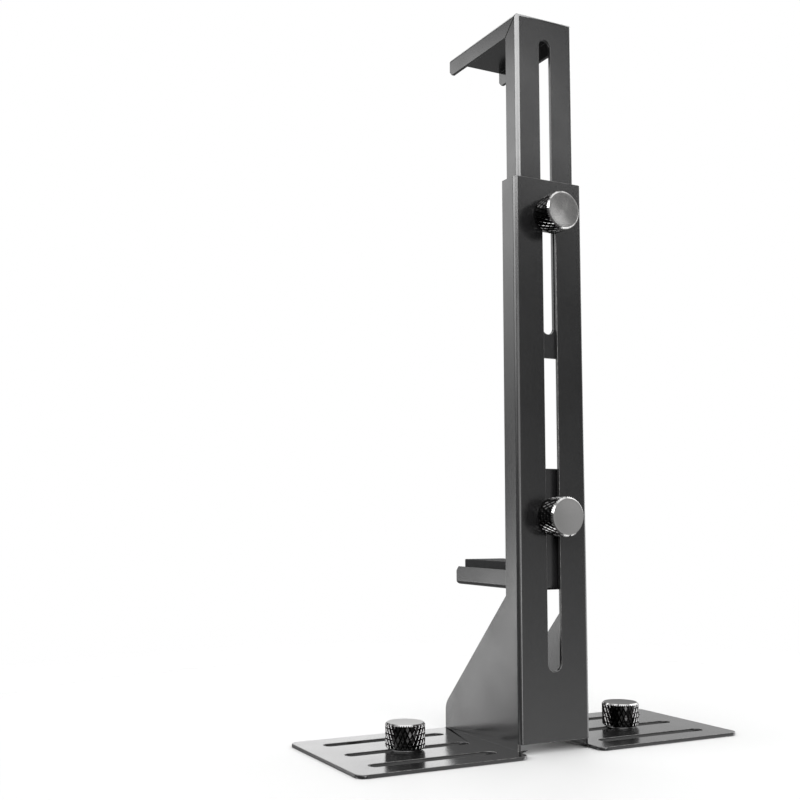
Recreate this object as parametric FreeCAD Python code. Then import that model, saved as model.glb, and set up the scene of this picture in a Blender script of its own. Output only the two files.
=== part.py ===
import FreeCAD, Part
import math
import os
from FreeCAD import Vector

# Graphics card support bracket, in millimetres.
# Frame: +Z up from the underside of the feet, +X along the two feet, +Y from the
# column's web to the arms' free ends. The origin is the centre of the foot slots' pattern.

# Folded sheet
sheet = 1.0
bend_inner = 0.15

# Column of the base: a channel that is open to the back
column_width = 22.5
column_depth = 6.5
column_top = 155.5
web_bottom = 2.7
column_slot_width = 4.35
column_slot_bottom = 20.9

# Feet and the gussets that tie them to the column
foot_span = 120.0
foot_depth = 44.4
foot_in_front_of_web = 4.65
foot_corner_radius = 2.5
gusset_top = 40.9
gusset_rear_corner = 7.9
gusset_corner_radius = 4.5
gusset_rear_inset = 0.2
foot_slot_width = 3.7
foot_slot_length = 36.6
foot_slot_centre = 35.05
foot_slot_pitch = 13.9

# Upper arm: a channel that slides inside the column, folded back at the top
upper_side_gap = 0.73
face_gap = 0.08
upper_top = 203.2
upper_bottom = 105.5
upper_arm_length = 37.4
upper_flange = 5.6
upper_arm_flange = 5.4
upper_slot_width = 3.8
upper_slot_bottom = 112.1
upper_slot_top = 196.8

# Lower arm: a narrower channel that can pass inside the upper one
lower_side_gap = 0.77
lower_bottom = 42.3
lower_top = 75.1
lower_arm_length = 36.7
lower_flange = 5.2

# Both arms
mitre_gap = 0.3
arm_web_end_radius = 0.8
arm_lip_bevel = 1.2

# Pad that lies in the lower arm
pad_height = 6.35
pad_side_gap = 0.2
pad_behind_flanges = 0.6
pad_end_inset = 2.9

# Thumbscrews' heads, with a diamond knurl between two chamfers
head_diameter = 10.6
head_height = 6.6
head_chamfer = 0.55
knurl_pitch = 1.28
knurl_rise = 2.75
knurl_depth = 0.32
knurl_crest = 0.64

# Thumbscrews' shanks, washers and what they thread into
screw_diameter = 3.5
screw_length = 6.0
screw_tip_chamfer = 0.4
thread_gap = 0.05
seat_gap = 0.05
washer_diameter = 8.4
washer_thickness = 0.35
washer_bore_gap = 0.15
upper_screw_height = 145.35
lower_screw_height = 62.05
left_foot_screw_x = -36.0
right_foot_screw_x = 35.2
bar_nut_height = 7.0
bar_nut_thickness = 2.4
bar_nut_side_gap = 0.6
bar_nut_corner_radius = 1.0
clinch_nut_diameter = 7.8
clinch_nut_height = 2.0
clinch_pilot_diameter = 5.2
spacer_diameter = 8.0

# Worked out from the sizes above
bend_outer = sheet + bend_inner
foot_front_y = -foot_depth / 2
foot_rear_y = foot_depth / 2
foot_end_x = foot_span / 2
web_front_y = foot_front_y + foot_in_front_of_web
upper_front_y = web_front_y + sheet + face_gap
lower_front_y = upper_front_y + sheet + face_gap
upper_width = column_width - 2 * (sheet + upper_side_gap)
lower_width = upper_width - 2 * (sheet + lower_side_gap)
washer_stack = washer_thickness + 2 * seat_gap
through = 200.0


def on_plan(x, y):
    return Vector(x, y, 0)


def on_side(y, z):
    return Vector(0, y, z)


def on_front(x, z):
    return Vector(x, 0, z)


def rounded_face(corners, place):
    """Flat face through (a, b, radius) corners, each rounded to its radius."""
    points = [place(a, b) for a, b, radius in corners]
    ends = []
    arcs = []
    for index, point in enumerate(points):
        radius = corners[index][2]
        if radius == 0:
            ends.append((point, point))
            arcs.append(None)
            continue
        back = (points[index - 1] - point).normalize()
        ahead = (points[(index + 1) % len(points)] - point).normalize()
        half = back.getAngle(ahead) / 2
        start = point + back * (radius / math.tan(half))
        end = point + ahead * (radius / math.tan(half))
        centre = point + (back + ahead).normalize() * (radius / math.sin(half))
        middle = centre + (point - centre).normalize() * radius
        ends.append((start, end))
        arcs.append(Part.Arc(start, middle, end).toShape())
    edges = []
    for index, arc in enumerate(arcs):
        if arc is not None:
            edges.append(arc)
        following = ends[(index + 1) % len(ends)][0]
        if ends[index][1].distanceToPoint(following) > 1e-6:
            edges.append(Part.makeLine(ends[index][1], following))
    return Part.Face(Part.Wire(edges))


def slab(face, start, length, direction):
    """Solid made by pushing a flat face along a direction from a start distance."""
    moved = face.copy()
    moved.translate(direction * start)
    return moved.extrude(direction * length)


def mirrored(shape):
    return shape.mirror(Vector(0, 0, 0), Vector(1, 0, 0))


def channel_corners(width, depth, front, lip):
    """Section of a channel: its web's outer face at front, its lips at front + depth * lip."""
    half = width / 2
    edge = front + depth * lip
    inside = front + sheet * lip
    return [
        (-half, edge, 0),
        (-half, front, bend_outer),
        (half, front, bend_outer),
        (half, edge, 0),
        (half - sheet, edge, 0),
        (half - sheet, inside, bend_inner),
        (sheet - half, inside, bend_inner),
        (sheet - half, edge, 0),
    ]


def upright_channel(width, depth, front, bottom, top):
    face = rounded_face(channel_corners(width, depth, front, 1), on_plan)
    return slab(face, bottom, top - bottom, Vector(0, 0, 1))


def level_channel(width, depth, web_z, lip, start, end):
    face = rounded_face(channel_corners(width, depth, web_z, lip), on_front)
    return slab(face, start, end - start, Vector(0, 1, 0))


def upright_slot(bottom, top, width, front):
    """Cutter for a slot with round ends through an upright web."""
    half = width / 2
    corners = [(-half, bottom, half), (half, bottom, half), (half, top, half), (-half, top, half)]
    face = rounded_face(corners, on_front)
    return slab(face, front - sheet, 3 * sheet, Vector(0, 1, 0))


def foot_slot(row):
    """Cutter for one slot of the right foot; row is -1, 0 or 1 from front to back."""
    half = foot_slot_width / 2
    near = foot_slot_centre - foot_slot_length / 2
    far = foot_slot_centre + foot_slot_length / 2
    y = row * foot_slot_pitch
    corners = [(near, y - half, half), (far, y - half, half), (far, y + half, half), (near, y + half, half)]
    return slab(rounded_face(corners, on_plan), -sheet, 3 * sheet, Vector(0, 0, 1))


def side_sheet():
    """Right flange, gusset and foot: one sheet folded outwards at the floor."""
    flange_out = column_width / 2
    flange_in = flange_out - sheet
    flange_front = web_front_y + bend_outer
    column_rear = web_front_y + column_depth
    gusset_rear = foot_rear_y - gusset_rear_inset
    section = [
        (flange_in, column_top, 0),
        (flange_in, 0, bend_outer),
        (foot_end_x, 0, 0),
        (foot_end_x, sheet, 0),
        (flange_out, sheet, bend_inner),
        (flange_out, column_top, 0),
    ]
    elevation = [
        (foot_front_y, 0, 0),
        (foot_rear_y, 0, 0),
        (foot_rear_y, sheet, 0),
        (gusset_rear, sheet, 0),
        (gusset_rear, gusset_rear_corner, gusset_corner_radius),
        (column_rear, gusset_top, 0),
        (column_rear, column_top, 0),
        (flange_front, column_top, 0),
        (flange_front, sheet, 0),
        (foot_front_y, sheet, 0),
    ]
    plan = [
        (flange_out, foot_front_y, foot_corner_radius),
        (foot_end_x, foot_front_y, foot_corner_radius),
        (foot_end_x, foot_rear_y, foot_corner_radius),
        (flange_in, foot_rear_y, 0),
        (flange_in, flange_front, 0),
        (flange_out, flange_front, 0),
    ]
    folded = slab(rounded_face(section, on_front), foot_front_y, foot_depth, Vector(0, 1, 0))
    seen_from_side = slab(rounded_face(elevation, on_side), 0, foot_span, Vector(1, 0, 0))
    seen_from_above = slab(rounded_face(plan, on_plan), 0, column_top, Vector(0, 0, 1))
    solid = folded.common(seen_from_side).common(seen_from_above)
    for row in (-1, 0, 1):
        solid = solid.cut(foot_slot(row))
    return solid


def base_bracket():
    right = side_sheet()
    column = upright_channel(column_width, column_depth, web_front_y, web_bottom, column_top)
    solid = column.fuse([right, mirrored(right)])
    slot_top = upper_screw_height + column_slot_width / 2
    solid = solid.cut(upright_slot(column_slot_bottom, slot_top, column_slot_width, web_front_y))
    return solid.removeSplitter()


def mitre_slits(width, corner, inner):
    """Cutters for the thin gap that each pair of mitred flanges leaves at the fold."""
    along = (inner - corner).normalize()
    across = Vector(0, -along.z, along.y) * (mitre_gap / 2)
    start = corner + along * bend_outer
    end = inner + along * sheet
    outline = [start - across, end - across, end + across, start + across]
    face = Part.Face(Part.makePolygon(outline + [outline[0]]))
    right = slab(face, width / 2 - bend_outer, 2 * bend_outer, Vector(1, 0, 0))
    return [right, mirrored(right)]


def folded_arm(width, flange, arm_flange, front, length, web_z, far_z):
    """Upright channel from far_z to web_z, folded back at web_z into an arm of this length."""
    up = 1 if web_z > far_z else -1
    rear = front + length
    corner = Vector(0, front, web_z)
    inner = Vector(0, front + flange, web_z - up * arm_flange)
    upright = upright_channel(width, flange, front, min(web_z, far_z), max(web_z, far_z))
    level = level_channel(width, arm_flange, web_z, -up, front, rear)
    beyond = corner + (inner - corner) * 2
    below = [corner, beyond, Vector(0, beyond.y, far_z), Vector(0, front, far_z)]
    above = [corner, beyond, Vector(0, rear, beyond.z), Vector(0, rear, web_z)]
    below_face = Part.Face(Part.makePolygon(below + [below[0]]))
    above_face = Part.Face(Part.makePolygon(above + [above[0]]))
    upright = upright.common(slab(below_face, -width, 2 * width, Vector(1, 0, 0)))
    level = level.common(slab(above_face, -width, 2 * width, Vector(1, 0, 0)))
    silhouette = [
        (front, far_z, 0),
        (front, web_z, bend_outer),
        (rear, web_z, arm_web_end_radius),
        (rear, inner.z + up * arm_lip_bevel, 0),
        (rear - arm_lip_bevel, inner.z, 0),
        (inner.y, inner.z, 0),
        (inner.y, far_z, 0),
    ]
    outline = slab(rounded_face(silhouette, on_side), -width, 2 * width, Vector(1, 0, 0))
    solid = upright.fuse(level).common(outline)
    for slit in mitre_slits(width, corner, inner):
        solid = solid.cut(slit)
    return solid.removeSplitter()


def upper_arm():
    solid = folded_arm(
        upper_width, upper_flange, upper_arm_flange, upper_front_y, upper_arm_length, upper_top, upper_bottom
    )
    return solid.cut(upright_slot(upper_slot_bottom, upper_slot_top, upper_slot_width, upper_front_y))


def lower_arm():
    solid = folded_arm(
        lower_width, lower_flange, lower_flange, lower_front_y, lower_arm_length, lower_bottom, lower_top
    )
    before_web = Vector(0, lower_front_y - sheet, lower_screw_height)
    return solid.cut(Part.makeCylinder(clinch_pilot_diameter / 2, 3 * sheet, before_web, Vector(0, 1, 0)))


def lower_pad():
    width = lower_width - 2 * (sheet + pad_side_gap)
    start = lower_front_y + lower_flange + pad_behind_flanges
    end = lower_front_y + lower_arm_length - pad_end_inset
    return Part.makeBox(width, end - start, pad_height, Vector(-width / 2, start, lower_bottom + sheet))


def faceted(facets):
    """Solid closed by flat facets, each given by its corners."""
    faces = [Part.Face(Part.makePolygon([*corners, corners[0]])) for corners in facets]
    shell = Part.makeShell(faces)
    shell.sewShape()
    return Part.makeSolid(shell)


def knurled_head():
    """Head that stands on Z from zero: crossed V grooves leave diamonds, and run out into the chamfers.

    Columns count half pitches round the head and rows half rises up it, so that grooves
    cross where column + row is even, and a diamond's flat crest is centred where it is odd.
    """
    columns = 2 * round(math.pi * head_diameter / knurl_pitch)
    rows = round((head_height - 2 * head_chamfer) / (knurl_rise / 2))
    row_height = (head_height - 2 * head_chamfer) / rows
    crest_reach = knurl_crest / knurl_pitch
    outer = head_diameter / 2

    def corner(column, radius, z):
        angle = 2 * math.pi * (column % columns) / columns
        return Vector(radius * math.cos(angle), radius * math.sin(angle), z)

    def crossing(column, row):
        return corner(column, outer - knurl_depth, head_chamfer + row * row_height)

    def crest(column, row):
        return corner(column, outer, head_chamfer + row * row_height)

    def rim(column, z):
        return corner(column, outer - head_chamfer, z)

    facets = []
    for row in range(rows + 1):
        for column in range((row + 1) % 2, columns, 2):
            left = crossing(column - 1, row)
            right = crossing(column + 1, row)
            crest_left = crest(column - crest_reach, row)
            crest_right = crest(column + crest_reach, row)
            for next_row in (row - 1, row + 1):
                if 0 <= next_row <= rows:
                    end = crossing(column, next_row)
                    crest_end = crest(column, row + crest_reach * (next_row - row))
                    facets += [
                        (left, end, crest_end),
                        (left, crest_end, crest_left),
                        (right, end, crest_end),
                        (right, crest_end, crest_right),
                        (crest_left, crest_end, crest_right),
                    ]
    for row, z in ((0, 0), (rows, head_height)):
        outline = []
        for column in range((row + 1) % 2, columns, 2):
            first = column - crest_reach
            last = column + crest_reach
            groove = column + 1
            following = column + 2 - crest_reach
            outline += [rim(first, z), rim(last, z), rim(groove, z)]
            facets += [
                (crest(first, row), crest(last, row), rim(last, z), rim(first, z)),
                (crest(last, row), crossing(groove, row), rim(groove, z)),
                (crest(last, row), rim(groove, z), rim(last, z)),
                (crest(following, row), crossing(groove, row), rim(groove, z)),
                (crest(following, row), rim(groove, z), rim(following, z)),
            ]
        facets.append(outline)
    return faceted(facets)


def thumbscrew():
    """Screw that stands on Z, with its knurled head's underside at zero."""
    shank = screw_diameter / 2
    outline = [
        (0, 0),
        (shank, 0),
        (shank, screw_tip_chamfer - screw_length),
        (shank - screw_tip_chamfer, -screw_length),
        (0, -screw_length),
    ]
    points = [Vector(radius, 0, z) for radius, z in outline]
    face = Part.Face(Part.makePolygon(points + [points[0]]))
    pin = face.revolve(Vector(0, 0, 0), Vector(0, 0, 1), 360)
    return knurled_head().fuse(pin)


def ring(outer_diameter, bore_diameter, thickness):
    """Flat ring that stands on Z from zero upwards."""
    outer = Part.makeCylinder(outer_diameter / 2, thickness)
    return outer.cut(Part.makeCylinder(bore_diameter / 2, thickness))


def washer():
    return ring(washer_diameter, screw_diameter + 2 * washer_bore_gap, washer_thickness)


def on_foot(shape, x, height):
    """Places a turned piece on a foot's middle slot, this high above the foot."""
    placed = shape.copy()
    placed.translate(Vector(x, 0, sheet + height))
    return placed


def on_web(shape, z, height):
    """Turns a piece to stand out of the web's front, this far in front of it."""
    placed = shape.copy()
    placed.rotate(Vector(0, 0, 0), Vector(1, 0, 0), 90)
    placed.translate(Vector(0, web_front_y - height, z))
    return placed


def upper_bar_nut():
    """Nut that spans the upper arm's channel, so that it can't turn."""
    half_width = upper_width / 2 - sheet - bar_nut_side_gap
    half_height = bar_nut_height / 2
    low = upper_screw_height - half_height
    high = upper_screw_height + half_height
    corners = [
        (-half_width, low, bar_nut_corner_radius),
        (half_width, low, bar_nut_corner_radius),
        (half_width, high, bar_nut_corner_radius),
        (-half_width, high, bar_nut_corner_radius),
    ]
    front = upper_front_y + sheet + face_gap
    bar = slab(rounded_face(corners, on_front), front, bar_nut_thickness, Vector(0, 1, 0))
    bore = Part.makeCylinder(
        screw_diameter / 2 + thread_gap,
        bar_nut_thickness,
        Vector(0, front, upper_screw_height),
        Vector(0, 1, 0),
    )
    return bar.cut(bore)


def lower_clinch_nut():
    """Round nut pressed into the lower arm's web from behind."""
    start = Vector(0, lower_front_y, lower_screw_height)
    back = Vector(0, lower_front_y + sheet, lower_screw_height)
    ahead = Vector(0, 1, 0)
    pilot = Part.makeCylinder(clinch_pilot_diameter / 2, sheet, start, ahead)
    collar = Part.makeCylinder(clinch_nut_diameter / 2, clinch_nut_height, back, ahead)
    bore = Part.makeCylinder(screw_diameter / 2 + thread_gap, sheet + clinch_nut_height, start, ahead)
    return pilot.fuse(collar).cut(bore).removeSplitter()


def lower_spacer():
    """Ring that fills the space between the column's web and the lower arm's."""
    thickness = lower_front_y - web_front_y - sheet - seat_gap
    solid = ring(spacer_diameter, screw_diameter + 2 * washer_bore_gap, thickness)
    solid.rotate(Vector(0, 0, 0), Vector(1, 0, 0), -90)
    solid.translate(Vector(0, web_front_y + sheet + seat_gap, lower_screw_height))
    return solid


def build():
    screw = thumbscrew()
    plain_washer = washer()
    return {
        "base_bracket": base_bracket(),
        "upper_arm": upper_arm(),
        "lower_arm": lower_arm(),
        "lower_pad": lower_pad(),
        "upper_screw": on_web(screw, upper_screw_height, washer_stack),
        "upper_washer": on_web(plain_washer, upper_screw_height, seat_gap),
        "upper_bar_nut": upper_bar_nut(),
        "lower_screw": on_web(screw, lower_screw_height, washer_stack),
        "lower_washer": on_web(plain_washer, lower_screw_height, seat_gap),
        "lower_spacer": lower_spacer(),
        "lower_clinch_nut": lower_clinch_nut(),
        "left_foot_screw": on_foot(screw, left_foot_screw_x, washer_stack),
        "left_foot_washer": on_foot(plain_washer, left_foot_screw_x, seat_gap),
        "right_foot_screw": on_foot(screw, right_foot_screw_x, washer_stack),
        "right_foot_washer": on_foot(plain_washer, right_foot_screw_x, seat_gap),
    }


os.makedirs("parts", exist_ok=True)
for node, shape in build().items():
    shape.exportStep(f"parts/{node}.step")
    print(node, shape.ShapeType, len(shape.Solids), "solid", round(shape.Volume, 2), "mm3", shape.isValid())
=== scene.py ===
import math
import bmesh
import bpy
from mathutils import Matrix, Vector


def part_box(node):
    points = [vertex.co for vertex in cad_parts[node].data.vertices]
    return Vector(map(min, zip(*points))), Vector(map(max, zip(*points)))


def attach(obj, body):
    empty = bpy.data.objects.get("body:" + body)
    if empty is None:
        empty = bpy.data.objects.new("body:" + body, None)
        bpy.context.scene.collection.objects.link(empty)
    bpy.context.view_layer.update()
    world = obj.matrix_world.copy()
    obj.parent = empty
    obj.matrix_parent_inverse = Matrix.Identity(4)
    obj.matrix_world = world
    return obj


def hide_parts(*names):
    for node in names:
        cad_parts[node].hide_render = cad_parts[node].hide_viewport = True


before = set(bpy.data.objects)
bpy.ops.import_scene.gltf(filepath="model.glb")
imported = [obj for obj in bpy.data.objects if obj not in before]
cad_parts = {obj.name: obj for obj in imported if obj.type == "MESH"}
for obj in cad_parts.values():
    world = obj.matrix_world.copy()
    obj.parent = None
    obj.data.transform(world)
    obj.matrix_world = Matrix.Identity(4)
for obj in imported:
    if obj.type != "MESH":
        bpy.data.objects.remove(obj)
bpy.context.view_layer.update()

MM = 0.001

# Thumbscrew heads. Their places come from the CAD parts they replace.
HEAD_RADIUS = 5.3 * MM
HEAD_HEIGHT = 6.6 * MM
HEAD_CHAMFER = 0.46 * MM
FACE_DISH = 0.05 * MM
FACE_RIM = 0.1 * MM
FACE_RINGS = 6
KNURL_STARTS = 26
KNURL_RISE = 2.75 * MM
KNURL_DEPTH = 0.32 * MM
KNURL_FLAT = 0.66
KNURL_ROUNDING = 0.06 * MM
HEAD_STEPS = 4 * KNURL_STARTS

# Threads. The profile gives the share of the pitch where each radius is reached.
THREAD_RADIUS = 1.75 * MM
THREAD_ROOT = THREAD_RADIUS - 0.42 * MM
THREAD_PITCH = 0.794 * MM
THREAD_LENGTH = 6.0 * MM
THREAD_CHAMFER = 0.4 * MM
THREAD_STEPS = 40
THREAD_PROFILE = [(0, THREAD_ROOT), (0.16, THREAD_ROOT), (0.44, THREAD_RADIUS), (0.72, THREAD_RADIUS)]
SAME_POINT = 0.0005 * MM

# Polish of the heads, from 0, black, to 1, bright. A face belongs to an end, a chamfer or a
# tip of the knurl by how far its normal points along the axis, or outwards.
CHAMFER_POLISH = 0.55
TIP_POLISH = 0.02
END_FACING = 0.9
CHAMFER_FACING = 0.5
TIP_FACING = 0.98
TIP_BAND = 0.06 * MM
RING_PHASE = 0.02 * MM

# Each thumbscrew's outward direction, and the polish of its face and of its knurl's flanks. The four
# heads are one part, so the differences between their polish values are painted light and shade.
FRONT = Vector((0, -1, 0))
UP = Vector((0, 0, 1))
SCREWS = {
    "upper_screw": (FRONT, 0.5, 0.14),
    "lower_screw": (FRONT, 0.95, 0.14),
    "left_foot_screw": (UP, 0.85, 0.1),
    "right_foot_screw": (UP, 0.7, 0.1),
}

# Rounding of edges and of the pad. Angles are in degrees.
EDGE_ROUNDING = 0.12 * MM
ARM_ROUNDING = 0.06 * MM
WASHER_ROUNDING = 0.05 * MM
EDGE_SEGMENTS = 2
EDGE_ANGLE = 40
CREST_ANGLE = 30
FLAT_ANGLE = 0.5
WELD_DISTANCE = 0.001 * MM
PAD_ROUNDING = 0.25 * MM
PAD_SEGMENTS = 4

# Surface detail: features per metre, then heights
COAT_GRAIN = 3200
COAT_CLOUDS = 90
EDGE_WEAR = 1500
NICKEL_SCUFFS = 2600
PLATE_SCRATCHES = 1800
FOAM_CELLS = 2600
FOAM_MOTTLE = 400
GRAIN_HEIGHT = 0.02 * MM
WEAR_HEIGHT = 0.01 * MM
RING_HEIGHT = 0.003 * MM
FOAM_HEIGHT = 0.05 * MM

# Tone and gloss. The first four are the values of a noise, or of the distance to a cell's
# middle, that are spread over a finish's tones or roughness.
NOISE_RANGE = (0.3, 0.7)
GRAIN_RANGE = (0.35, 0.68)
RUB_RANGE = (0.4, 0.65)
CELL_RANGE = (0, 0.6)
EDGE_ROUGHNESS = (0.3, 0.42)
NICKEL_ROUGHNESS = (0.08, 0.12)
PLATE_ROUGHNESS = (0.25, 0.42)
FOAM_ROUGHNESS = (0.7, 0.9)
COAT_IOR = 1.6
EDGE_METAL = 0.4
NICKEL_RIM = (0.4, 0.4, 0.4, 1)
FOAM_SHINE = 0.15

# Studio, in degrees. Azimuth is from +Y towards +X. Each panel has its azimuth, half width and
# side softness; the elevations where it starts, is full, fades and ends; its lean, which
# is elevation gained per azimuth; and its radiance, which is added to the room's.
ROOM_LOW = 0.25
ROOM_HIGH = 2.8
ROOM_RISES_FROM = 48
ROOM_RISES_TO = 75
BACKDROP = 1.0
PANELS = {
    "key": (232, 71, 3, 15, 19, 26, 56, 0, 11.5),
    "left_low": (274, 28, 6, 4, 12, 15, 19, 0, 4.4),
    "left_floor": (292, 12, 4, -80, -60, -14, -11, 0, 2.5),
    "front_low": (193, 30, 6, -8, 0, 10, 15, 0, 2.1),
    "left_rear": (327, 8.5, 6, -1, 22, 21, 25.5, 0, 3.1),
    "left_rear_floor": (326, 7.5, 2.5, -9.2, -5.2, -2, 0.2, -1, 4.1),
    "front_line": (184, 9, 4, -15, -12, -2, 1, 0, 6.0),
    "right_front_floor": (140, 16, 4, -14, -10, -3, -0.5, 0, 0.3),
    "right_front_base": (142, 16, 4, -60, -50, -10.5, -7, 0, 0.8),
    "right_front_low": (151, 8, 5, -14, -10, 3, 9, 0, 0.25),
    "right_front_shade": (126, 14, 3, -2, 2, 12, 18, 0, -0.2),
    "right_front_mid": (146, 12, 4, 8, 13, 14, 18, 0, 0.15),
    "right_floor": (100, 28, 5, -80, -60, -4, -1, 0, 3.0),
    "right_front": (145.5, 4.5, 2.5, 17.5, 20.5, 20.5, 24, 0.9, 4.4),
    "rear": (20, 14, 5, 0, 5, 16, 22, 0, 1.85),
    "rear_high": (10, 35, 8, 34, 42, 58, 68, 0, 3.5),
    "right_rear": (44, 10, 5, 0, 5, 20, 28, 0, 0.5),
    "right": (84, 30, 6, -4, 4, 50, 62, 0, 4.5),
}

# Floor disc
FLOOR_FADES_FROM = 0.10
FLOOR_RADIUS = 0.27
FLOOR_STEPS = 96
FLOOR_TONE = 0.29
FLOOR_ROUGHNESS = 0.6

# Camera, in metres, degrees and millimetres
CAMERA_PLACE = (-0.17529, -0.26725, 0.06162)
CAMERA_TURN = (96.070, -0.032, -27.263)
CAMERA_LENS = 50
CAMERA_SENSOR = 36
CAMERA_NEAR = 0.01


# Shader nodes. A source is a pair: a node and the name of its output.

def material(name):
    """New node material and its shader."""
    made = bpy.data.materials.new(name)
    made.use_nodes = True
    return made, made.node_tree.nodes["Principled BSDF"]


def add(made, kind, **settings):
    node = made.node_tree.nodes.new(kind)
    for key, value in settings.items():
        setattr(node, key, value)
    return node


def link(made, source, target, socket):
    node, output = source
    made.node_tree.links.new(node.outputs[output], target.inputs[socket])


def noise(made, scale, detail=2.0, roughness=0.5):
    """Noise over the object's own coordinates, with features of about 1 / scale metres."""
    place = add(made, "ShaderNodeTexCoord")
    texture = add(made, "ShaderNodeTexNoise")
    texture.inputs["Scale"].default_value = scale
    texture.inputs["Detail"].default_value = detail
    texture.inputs["Roughness"].default_value = roughness
    link(made, (place, "Object"), texture, "Vector")
    return texture, "Fac"


def attribute(made, name):
    """What the mesh stores under a name."""
    return add(made, "ShaderNodeAttribute", attribute_name=name), "Fac"


def spread(made, source, given, wanted, interpolation="LINEAR"):
    """Maps the range given, from low to high, to the range wanted."""
    node = add(made, "ShaderNodeMapRange", interpolation_type=interpolation)
    node.inputs["From Min"].default_value, node.inputs["From Max"].default_value = given
    node.inputs["To Min"].default_value, node.inputs["To Max"].default_value = wanted
    link(made, source, node, "Value")
    return node, "Result"


def ramp(made, source, low, high, wanted):
    """Smooth step from low to high, in degrees, on a value in radians."""
    return spread(made, source, (math.radians(low), math.radians(high)), wanted, "SMOOTHSTEP")


def arithmetic(made, operation, *values):
    """Math node whose inputs are numbers or sources."""
    node = add(made, "ShaderNodeMath", operation=operation)
    for index, value in enumerate(values):
        if isinstance(value, tuple):
            link(made, value, node, index)
        else:
            node.inputs[index].default_value = value
    return node, "Value"


def blend_colours(made, source, first, second):
    node = add(made, "ShaderNodeMix", data_type="RGBA")
    node.inputs["A"].default_value = (*first, 1)
    node.inputs["B"].default_value = (*second, 1)
    link(made, source, node, "Factor")
    return node, "Result"


def bump(made, shader, source, height, strength, after=None):
    node = add(made, "ShaderNodeBump")
    node.inputs["Strength"].default_value = strength
    node.inputs["Distance"].default_value = height
    link(made, source, node, "Height")
    if after is not None:
        link(made, after, node, "Normal")
    link(made, (node, "Normal"), shader, "Normal")
    return node, "Normal"


# Materials

def powder_coat(name, dark, light, roughness, grain_strength):
    """Satin powder coat: a fine pebbled grain, with faint clouding of its gloss."""
    made, shader = material(name)
    grain = noise(made, COAT_GRAIN, detail=2.5, roughness=0.6)
    cloud = noise(made, COAT_CLOUDS, detail=3)
    tone = spread(made, grain, GRAIN_RANGE, (0, 1))
    link(made, blend_colours(made, tone, dark, light), shader, "Base Color")
    link(made, spread(made, cloud, NOISE_RANGE, roughness), shader, "Roughness")
    wide = bump(made, shader, cloud, WEAR_HEIGHT, strength=0.25)
    bump(made, shader, grain, GRAIN_HEIGHT, strength=grain_strength, after=wide)
    shader.inputs["IOR"].default_value = COAT_IOR
    return made


def worn_and_highlit_edge(name, dark, light):
    """Coat over a sheared edge: thinner and smoother than on the faces, and paler, as wear and as a
    painted highlight along the edge.
    """
    made, shader = material(name)
    wear = noise(made, EDGE_WEAR, detail=4, roughness=0.65)
    rub = spread(made, wear, RUB_RANGE, (0, 1))
    link(made, blend_colours(made, rub, dark, light), shader, "Base Color")
    link(made, spread(made, wear, NOISE_RANGE, EDGE_ROUGHNESS), shader, "Roughness")
    shader.inputs["Metallic"].default_value = EDGE_METAL
    bump(made, shader, wear, WEAR_HEIGHT, strength=0.3)
    return made


def knurled_metal(name, dark, bright):
    """Black nickel on turned steel, brighter where the chamfers and faces are polished, and lighter or
    darker from one head to the next as painted light and shade.
    """
    made, shader = material(name)
    polish_and_painted_light = attribute(made, "polish_and_painted_light")
    turned = attribute(made, "turned")
    scuff = noise(made, NICKEL_SCUFFS, detail=3)
    link(made, blend_colours(made, polish_and_painted_light, dark, bright), shader, "Base Color")
    link(made, spread(made, scuff, NOISE_RANGE, NICKEL_ROUGHNESS), shader, "Roughness")
    shader.inputs["Metallic"].default_value = 1.0
    shader.inputs["Specular Tint"].default_value = NICKEL_RIM
    bump(made, shader, arithmetic(made, "SINE", turned), RING_HEIGHT, strength=0.1)
    return made


def plated_steel(name, dark, light):
    """Plated washer, nut or crest: fine scratches and small changes of tone."""
    made, shader = material(name)
    scratch = noise(made, PLATE_SCRATCHES, detail=5, roughness=0.7)
    link(made, blend_colours(made, scratch, dark, light), shader, "Base Color")
    link(made, spread(made, scratch, NOISE_RANGE, PLATE_ROUGHNESS), shader, "Roughness")
    shader.inputs["Metallic"].default_value = 1.0
    bump(made, shader, scratch, WEAR_HEIGHT, strength=0.3)
    return made


def foam_rubber(name, dark, light):
    """Matt foam rubber with a closed skin of fine cells."""
    made, shader = material(name)
    place = add(made, "ShaderNodeTexCoord")
    cells = add(made, "ShaderNodeTexVoronoi")
    cells.inputs["Scale"].default_value = FOAM_CELLS
    link(made, (place, "Object"), cells, "Vector")
    cell = (cells, "Distance")
    mottle = noise(made, FOAM_MOTTLE, detail=3)
    link(made, blend_colours(made, mottle, dark, light), shader, "Base Color")
    link(made, spread(made, cell, CELL_RANGE, FOAM_ROUGHNESS), shader, "Roughness")
    shader.inputs["Specular IOR Level"].default_value = FOAM_SHINE
    soft = bump(made, shader, mottle, FOAM_HEIGHT, strength=0.3)
    bump(made, shader, cell, FOAM_HEIGHT, strength=0.6, after=soft)
    return made


# Objects and modifiers

def new_object(name, data):
    made = bpy.data.objects.new(name, data)
    bpy.context.scene.collection.objects.link(made)
    return made


def to_object(bm, name):
    mesh = bpy.data.meshes.new(name)
    bm.to_mesh(mesh)
    bm.free()
    return new_object(name, mesh)


def paint(piece, *finishes):
    """Gives a piece its material and, where there is a second, that of its rounded edges."""
    piece.data.materials.clear()
    for finish in finishes:
        piece.data.materials.append(finish)


def round_edges(piece, width, segments, limit_method):
    edges = piece.modifiers.new("edges", "BEVEL")
    edges.width = width
    edges.segments = segments
    edges.limit_method = limit_method
    edges.material = 1
    return edges


def even_normals(piece):
    piece.modifiers.new("normals", "WEIGHTED_NORMAL").keep_sharp = False


# Sheets, washers and nuts keep their CAD solids

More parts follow.
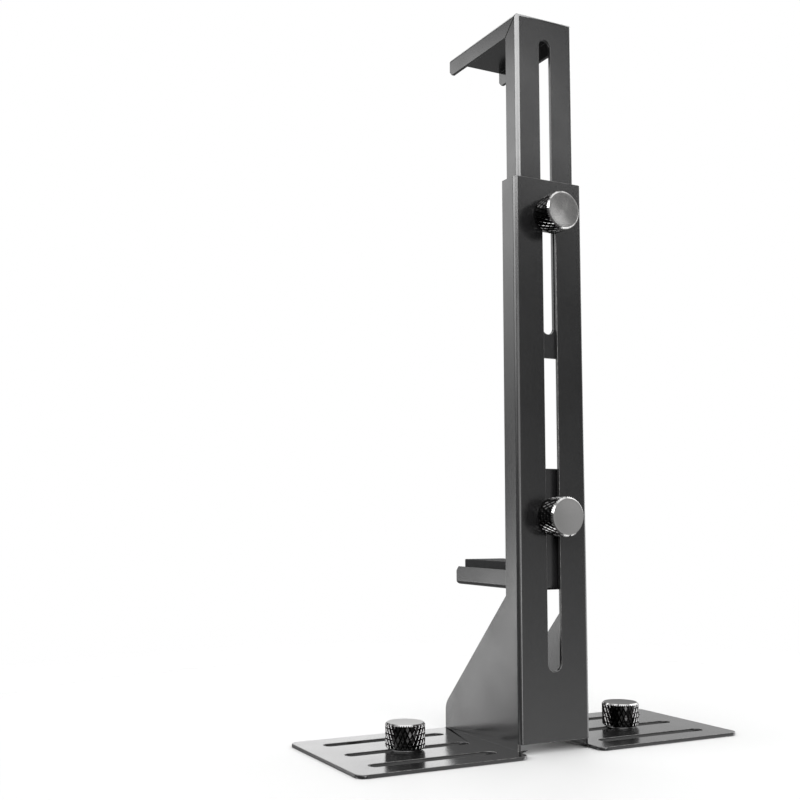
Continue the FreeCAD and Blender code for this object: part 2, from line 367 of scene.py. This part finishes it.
def dress(node, finish, edge_finish, rounding):
    """Gives a CAD node its material and small rounded edges with a finish of their own."""
    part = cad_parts[node]
    paint(part, finish, edge_finish)
    part.modifiers.new("join_faces", "WELD").merge_threshold = WELD_DISTANCE
    flats = part.modifiers.new("whole_flats", "DECIMATE")
    flats.decimate_type = "DISSOLVE"
    flats.angle_limit = math.radians(FLAT_ANGLE)
    edges = round_edges(part, rounding, EDGE_SEGMENTS, "ANGLE")
    edges.angle_limit = math.radians(EDGE_ANGLE)
    edges.use_clamp_overlap = False
    even_normals(part)


# Thumbscrews

def on_circle(radius, angle, height):
    return radius * math.cos(angle), radius * math.sin(angle), height


def revolved(bm, outline, steps):
    """Closed surface of revolution about Z through (radius, height) points.

    The outline starts and ends on the axis.
    """
    rings = []
    for radius, height in outline:
        if radius == 0:
            rings.append([bm.verts.new((0, 0, height))])
            continue
        angles = [2 * math.pi * k / steps for k in range(steps)]
        rings.append([bm.verts.new(on_circle(radius, angle, height)) for angle in angles])
    for lower, upper in zip(rings, rings[1:]):
        for k in range(steps):
            following = (k + 1) % steps
            if len(lower) == 1:
                bm.faces.new((lower[0], upper[following], upper[k]))
            elif len(upper) == 1:
                bm.faces.new((lower[k], lower[following], upper[0]))
            else:
                bm.faces.new((lower[k], lower[following], upper[following], upper[k]))


def close_ends(bm):
    ends = [e for e in bm.edges if e.is_boundary]
    bmesh.ops.holes_fill(bm, edges=ends, sides=0)
    bmesh.ops.recalc_face_normals(bm, faces=bm.faces)


def knurled_body():
    """Closed round bar with crossed V grooves, longer than the head at both ends.

    Grooves cross where column and level are both even or both odd, and pyramids with flat
    tips stand in between.
    """
    bm = bmesh.new()
    half_turn = math.pi / KNURL_STARTS
    half_rise = KNURL_RISE / 2
    levels = math.ceil(HEAD_HEIGHT / half_rise) + 2
    columns = 2 * KNURL_STARTS

    def point(column, level, radius):
        return bm.verts.new(on_circle(radius, column * half_turn, (level - 1) * half_rise))

    crossings = {}
    for level in range(levels + 1):
        for column in range(level % 2, columns, 2):
            crossings[column, level] = point(column, level, HEAD_RADIUS - KNURL_DEPTH)
    for level in range(levels + 1):
        for column in range((level + 1) % 2, columns, 2):
            left = crossings[(column - 1) % columns, level]
            right = crossings[(column + 1) % columns, level]
            low = crossings.get((column, level - 1))
            high = crossings.get((column, level + 1))
            top_left = point(column - KNURL_FLAT, level, HEAD_RADIUS)
            top_right = point(column + KNURL_FLAT, level, HEAD_RADIUS)
            if low is not None:
                top_low = point(column, level - KNURL_FLAT, HEAD_RADIUS)
                bm.faces.new((left, low, top_low, top_left))
                bm.faces.new((low, right, top_right, top_low))
                bm.faces.new((top_left, top_low, top_right))
            if high is not None:
                top_high = point(column, level + KNURL_FLAT, HEAD_RADIUS)
                bm.faces.new((right, high, top_high, top_right))
                bm.faces.new((high, left, top_left, top_high))
                bm.faces.new((top_left, top_right, top_high))
    close_ends(bm)
    return bm


def head_envelope():
    """What the head is turned to: chamfered at both ends, with a slightly dished face."""
    bm = bmesh.new()
    beyond = HEAD_RADIUS + HEAD_CHAMFER
    face_radius = HEAD_RADIUS - HEAD_CHAMFER
    dish_radius = face_radius - FACE_RIM
    outline = [
        (0, 0),
        (face_radius, 0),
        (beyond, 2 * HEAD_CHAMFER),
        (beyond, HEAD_HEIGHT - 2 * HEAD_CHAMFER),
        (face_radius, HEAD_HEIGHT),
    ]
    for ring in range(FACE_RINGS + 1):
        share = 1 - ring / FACE_RINGS
        outline.append((dish_radius * share, HEAD_HEIGHT - FACE_DISH * (1 - share ** 2)))
    revolved(bm, outline, HEAD_STEPS)
    bmesh.ops.recalc_face_normals(bm, faces=bm.faces)
    return bm


def threaded_shank():
    """Shank with a helical thread, whose tip is chamfered."""
    bm = bmesh.new()
    turns = math.ceil(THREAD_LENGTH / THREAD_PITCH) + 2
    start = -THREAD_LENGTH - THREAD_PITCH
    rows = []
    for turn in range(turns):
        for share, radius in THREAD_PROFILE:
            row = []
            for k in range(THREAD_STEPS):
                height = start + THREAD_PITCH * (turn + share + k / THREAD_STEPS)
                row.append(bm.verts.new(on_circle(radius, 2 * math.pi * k / THREAD_STEPS, height)))
            rows.append(row)
    for row, above in zip(rows, rows[1:]):
        for k in range(THREAD_STEPS - 1):
            bm.faces.new((row[k], row[k + 1], above[k + 1], above[k]))
    per_turn = len(THREAD_PROFILE)
    for index in range(len(rows) - 1 - per_turn):
        ahead = index + per_turn
        bm.faces.new((rows[index][-1], rows[ahead][0], rows[ahead + 1][0], rows[index + 1][-1]))
    for cut, direction in ((-THREAD_LENGTH, -1), (HEAD_CHAMFER, 1)):
        geometry = list(bm.verts) + list(bm.edges) + list(bm.faces)
        bmesh.ops.bisect_plane(
            bm, geom=geometry, plane_co=(0, 0, cut), plane_no=(0, 0, direction), clear_outer=True
        )
    for vert in bm.verts:
        limit = THREAD_RADIUS - THREAD_CHAMFER + (vert.co.z + THREAD_LENGTH)
        radius = vert.co.xy.length
        if radius > limit:
            vert.co.xy *= limit / radius
    bmesh.ops.remove_doubles(bm, verts=bm.verts, dist=SAME_POINT)
    close_ends(bm)
    return bm


def combined(first, second, operation):
    """Applies a boolean of second to first, and removes second."""
    step = first.modifiers.new("boolean", "BOOLEAN")
    step.operation = operation
    step.solver = "EXACT"
    step.object = second
    evaluated = first.evaluated_get(bpy.context.evaluated_depsgraph_get())
    mesh = bpy.data.meshes.new_from_object(evaluated)
    first.modifiers.clear()
    first.data = mesh
    bpy.data.objects.remove(second)
    return first


def mark_crests(mesh):
    """Gives the edges that stand out, and no groove, a weight for their rounding."""
    bm = bmesh.new()
    bm.from_mesh(mesh)
    weight = bm.edges.layers.float.new("bevel_weight_edge")
    for edge in bm.edges:
        if edge.is_manifold and edge.calc_face_angle_signed() > math.radians(CREST_ANGLE):
            edge[weight] = 1
    bm.to_mesh(mesh)
    bm.free()


def mark_finish(mesh, face_polish_and_painted_light, flank_polish_and_painted_light):
    """Stores how polished each corner is, with painted light and shade in the face and flank values,
    and the turning rings' phase, for the material.
    """
    polish_and_painted_light = mesh.attributes.new("polish_and_painted_light", "FLOAT", "CORNER")
    turned = mesh.attributes.new("turned", "FLOAT", "CORNER")
    for face in mesh.polygons:
        face.use_smooth = face.normal.z > END_FACING
        along = abs(face.normal.z)
        reach = face.center.xy.length
        outwards = Vector((face.center.x, face.center.y, 0)).normalized()
        flat_end = along > END_FACING
        value = flank_polish_and_painted_light
        if flat_end:
            value = face_polish_and_painted_light
        elif along > CHAMFER_FACING and reach > HEAD_RADIUS - HEAD_CHAMFER:
            value = CHAMFER_POLISH
        if reach > HEAD_RADIUS - TIP_BAND and face.normal.dot(outwards) > TIP_FACING:
            value = TIP_POLISH
        for corner in face.loop_indices:
            radius = mesh.vertices[mesh.loops[corner].vertex_index].co.xy.length
            polish_and_painted_light.data[corner].value = value
            turned.data[corner].value = radius / RING_PHASE if flat_end else 0


def thumbscrew_mesh():
    knurl = to_object(knurled_body(), "knurl")
    head = combined(knurl, to_object(head_envelope(), "envelope"), "INTERSECT")
    screw = combined(head, to_object(threaded_shank(), "shank"), "UNION")
    mesh = screw.data
    bpy.data.objects.remove(screw)
    mark_crests(mesh)
    return mesh


def place_screw(node, mesh, finish, crest_finish):
    """Thumbscrew whose head's seat is at the node's place, with its face turned outwards."""
    outwards, face_polish_and_painted_light, flank_polish_and_painted_light = SCREWS[node]
    low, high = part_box(node)
    middle = (low + high) / 2
    length = THREAD_LENGTH + HEAD_HEIGHT
    seat = middle - outwards * (length / 2 - THREAD_LENGTH)
    piece = new_object(node + "_knurled", mesh.copy())
    # The face and flank polish differ between these identical heads as painted light and shade.
    mark_finish(piece.data, face_polish_and_painted_light, flank_polish_and_painted_light)
    turn = UP.rotation_difference(outwards).to_matrix().to_4x4()
    piece.matrix_world = Matrix.Translation(seat) @ turn
    paint(piece, finish, crest_finish)
    round_edges(piece, KNURL_ROUNDING, 1, "WEIGHT")
    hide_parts(node)
    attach(piece, node)


# Pad

def pad_piece(finish):
    """Foam rubber block with soft edges."""
    low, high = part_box("lower_pad")
    bm = bmesh.new()
    bmesh.ops.create_cube(bm, size=1)
    bmesh.ops.scale(bm, vec=high - low, verts=bm.verts)
    bmesh.ops.translate(bm, vec=(low + high) / 2, verts=bm.verts)
    bmesh.ops.bevel(
        bm, geom=list(bm.edges), offset=PAD_ROUNDING, segments=PAD_SEGMENTS, profile=0.5, affect="EDGES"
    )
    piece = to_object(bm, "lower_pad_foam")
    for face in piece.data.polygons:
        face.use_smooth = True
    even_normals(piece)
    paint(piece, finish)
    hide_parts("lower_pad")
    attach(piece, "lower_arm")


# Stage, lights and camera

def floor():
    """Pale disc that fades out into the backdrop. Reflections see the studio's own floor panels."""
    bm = bmesh.new()
    bmesh.ops.create_circle(bm, cap_ends=True, radius=FLOOR_RADIUS, segments=FLOOR_STEPS)
    piece = to_object(bm, "floor")
    made, shader = material("pale_floor")
    shader.inputs["Base Color"].default_value = (FLOOR_TONE, FLOOR_TONE, FLOOR_TONE, 1)
    shader.inputs["Roughness"].default_value = FLOOR_ROUGHNESS
    place = add(made, "ShaderNodeTexCoord")
    far = add(made, "ShaderNodeVectorMath", operation="LENGTH")
    link(made, (place, "Object"), far, "Vector")
    fade = spread(made, (far, "Value"), (FLOOR_FADES_FROM, FLOOR_RADIUS), (1, 0), "SMOOTHSTEP")
    path = add(made, "ShaderNodeLightPath")
    unseen = arithmetic(made, "SUBTRACT", 1.0, (path, "Is Glossy Ray"))
    link(made, arithmetic(made, "MULTIPLY", fade, unseen), shader, "Alpha")
    paint(piece, made)


def panel(made, azimuth, elevation, shape):
    """Radiance of one soft-edged panel of the studio."""
    centre, half_width, softness, starts, full, fades, ends, lean, radiance = shape
    aside = arithmetic(made, "SUBTRACT", azimuth, math.radians(centre))
    aside = arithmetic(made, "WRAP", aside, math.pi, -math.pi)
    leant = arithmetic(made, "MULTIPLY", aside, lean)
    height = arithmetic(made, "SUBTRACT", elevation, leant)
    away = arithmetic(made, "ABSOLUTE", aside)
    across = ramp(made, away, half_width - softness, half_width + softness, (1, 0))
    above = ramp(made, height, starts, full, (0, 1))
    below = ramp(made, height, fades, ends, (radiance, 0))
    upright = arithmetic(made, "MULTIPLY", above, below)
    return arithmetic(made, "MULTIPLY", across, upright)


def studio():
    """White room with soft panels: a wide bright one in front on the left, and dimmer ones.

    The view past the object is a plain backdrop.
    """
    world = bpy.data.worlds.new("studio")
    bpy.context.scene.world = world
    world.use_nodes = True
    background = world.node_tree.nodes["Background"]
    background.inputs["Color"].default_value = (1, 1, 1, 1)
    place = add(world, "ShaderNodeTexCoord")
    split = add(world, "ShaderNodeSeparateXYZ")
    link(world, (place, "Generated"), split, "Vector")
    azimuth = arithmetic(world, "ARCTAN2", (split, "X"), (split, "Y"))
    elevation = arithmetic(world, "ARCSINE", (split, "Z"))
    total = ramp(world, elevation, ROOM_RISES_FROM, ROOM_RISES_TO, (ROOM_LOW, ROOM_HIGH))
    for shape in PANELS.values():
        total = arithmetic(world, "ADD", total, panel(world, azimuth, elevation, shape))
    path = add(world, "ShaderNodeLightPath")
    seen = add(world, "ShaderNodeMix")
    seen.inputs["B"].default_value = BACKDROP
    link(world, (path, "Is Camera Ray"), seen, "Factor")
    link(world, total, seen, "A")
    link(world, (seen, "Result"), background, "Strength")


def camera():
    """The photograph's view: a 50 mm lens, low in front of the left foot."""
    data = bpy.data.cameras.new("camera")
    data.lens = CAMERA_LENS
    data.sensor_width = CAMERA_SENSOR
    data.clip_start = CAMERA_NEAR
    made = new_object("camera", data)
    made.location = CAMERA_PLACE
    made.rotation_euler = [math.radians(angle) for angle in CAMERA_TURN]
    bpy.context.scene.camera = made


coat = powder_coat(
    "dark_coat", dark=(0.0008, 0.0008, 0.0008), light=(0.007, 0.007, 0.0073),
    roughness=(0.17, 0.21), grain_strength=0.5,
)
# Same powder coat as the base bracket's. Its lighter colours are painted light, standing in for the
# shade that lies on the column and not on the arms.
arm_coat_with_painted_light = powder_coat(
    "arm_coat_with_painted_light", dark=(0.004, 0.004, 0.0041), light=(0.008, 0.008, 0.0084),
    roughness=(0.18, 0.23), grain_strength=0.2,
)
# Paler rounded edges: wear, and a painted highlight along every edge.
edge = worn_and_highlit_edge("coated_edge", dark=(0.02, 0.02, 0.021), light=(0.09, 0.088, 0.085))
arm_edge = worn_and_highlit_edge("arm_edge", dark=(0.012, 0.012, 0.012), light=(0.03, 0.03, 0.029))
plate = plated_steel("dark_plate", dark=(0.1, 0.1, 0.1), light=(0.2, 0.2, 0.2))
zinc = plated_steel("zinc_plate", dark=(0.35, 0.35, 0.34), light=(0.55, 0.55, 0.53))
nickel = knurled_metal("black_nickel", dark=(0.018, 0.018, 0.018), bright=(0.55, 0.545, 0.54))
bare_nickel = plated_steel("bare_nickel", dark=(0.45, 0.45, 0.44), light=(0.65, 0.65, 0.635))
foam = foam_rubber("foam_rubber", dark=(0.003, 0.003, 0.003), light=(0.008, 0.008, 0.0085))

dress("base_bracket", coat, edge, EDGE_ROUNDING)
for arm in ("upper_arm", "lower_arm"):
    dress(arm, arm_coat_with_painted_light, arm_edge, ARM_ROUNDING)
for washer in ("upper_washer", "lower_washer", "lower_spacer", "left_foot_washer", "right_foot_washer"):
    dress(washer, plate, plate, WASHER_ROUNDING)
for nut in ("upper_bar_nut", "lower_clinch_nut"):
    dress(nut, zinc, zinc, EDGE_ROUNDING)

screw_mesh = thumbscrew_mesh()
for screw_node in SCREWS:
    place_screw(screw_node, screw_mesh, nickel, bare_nickel)
pad_piece(foam)

floor()
studio()
camera()
bpy.context.scene.view_settings.view_transform = "Standard"
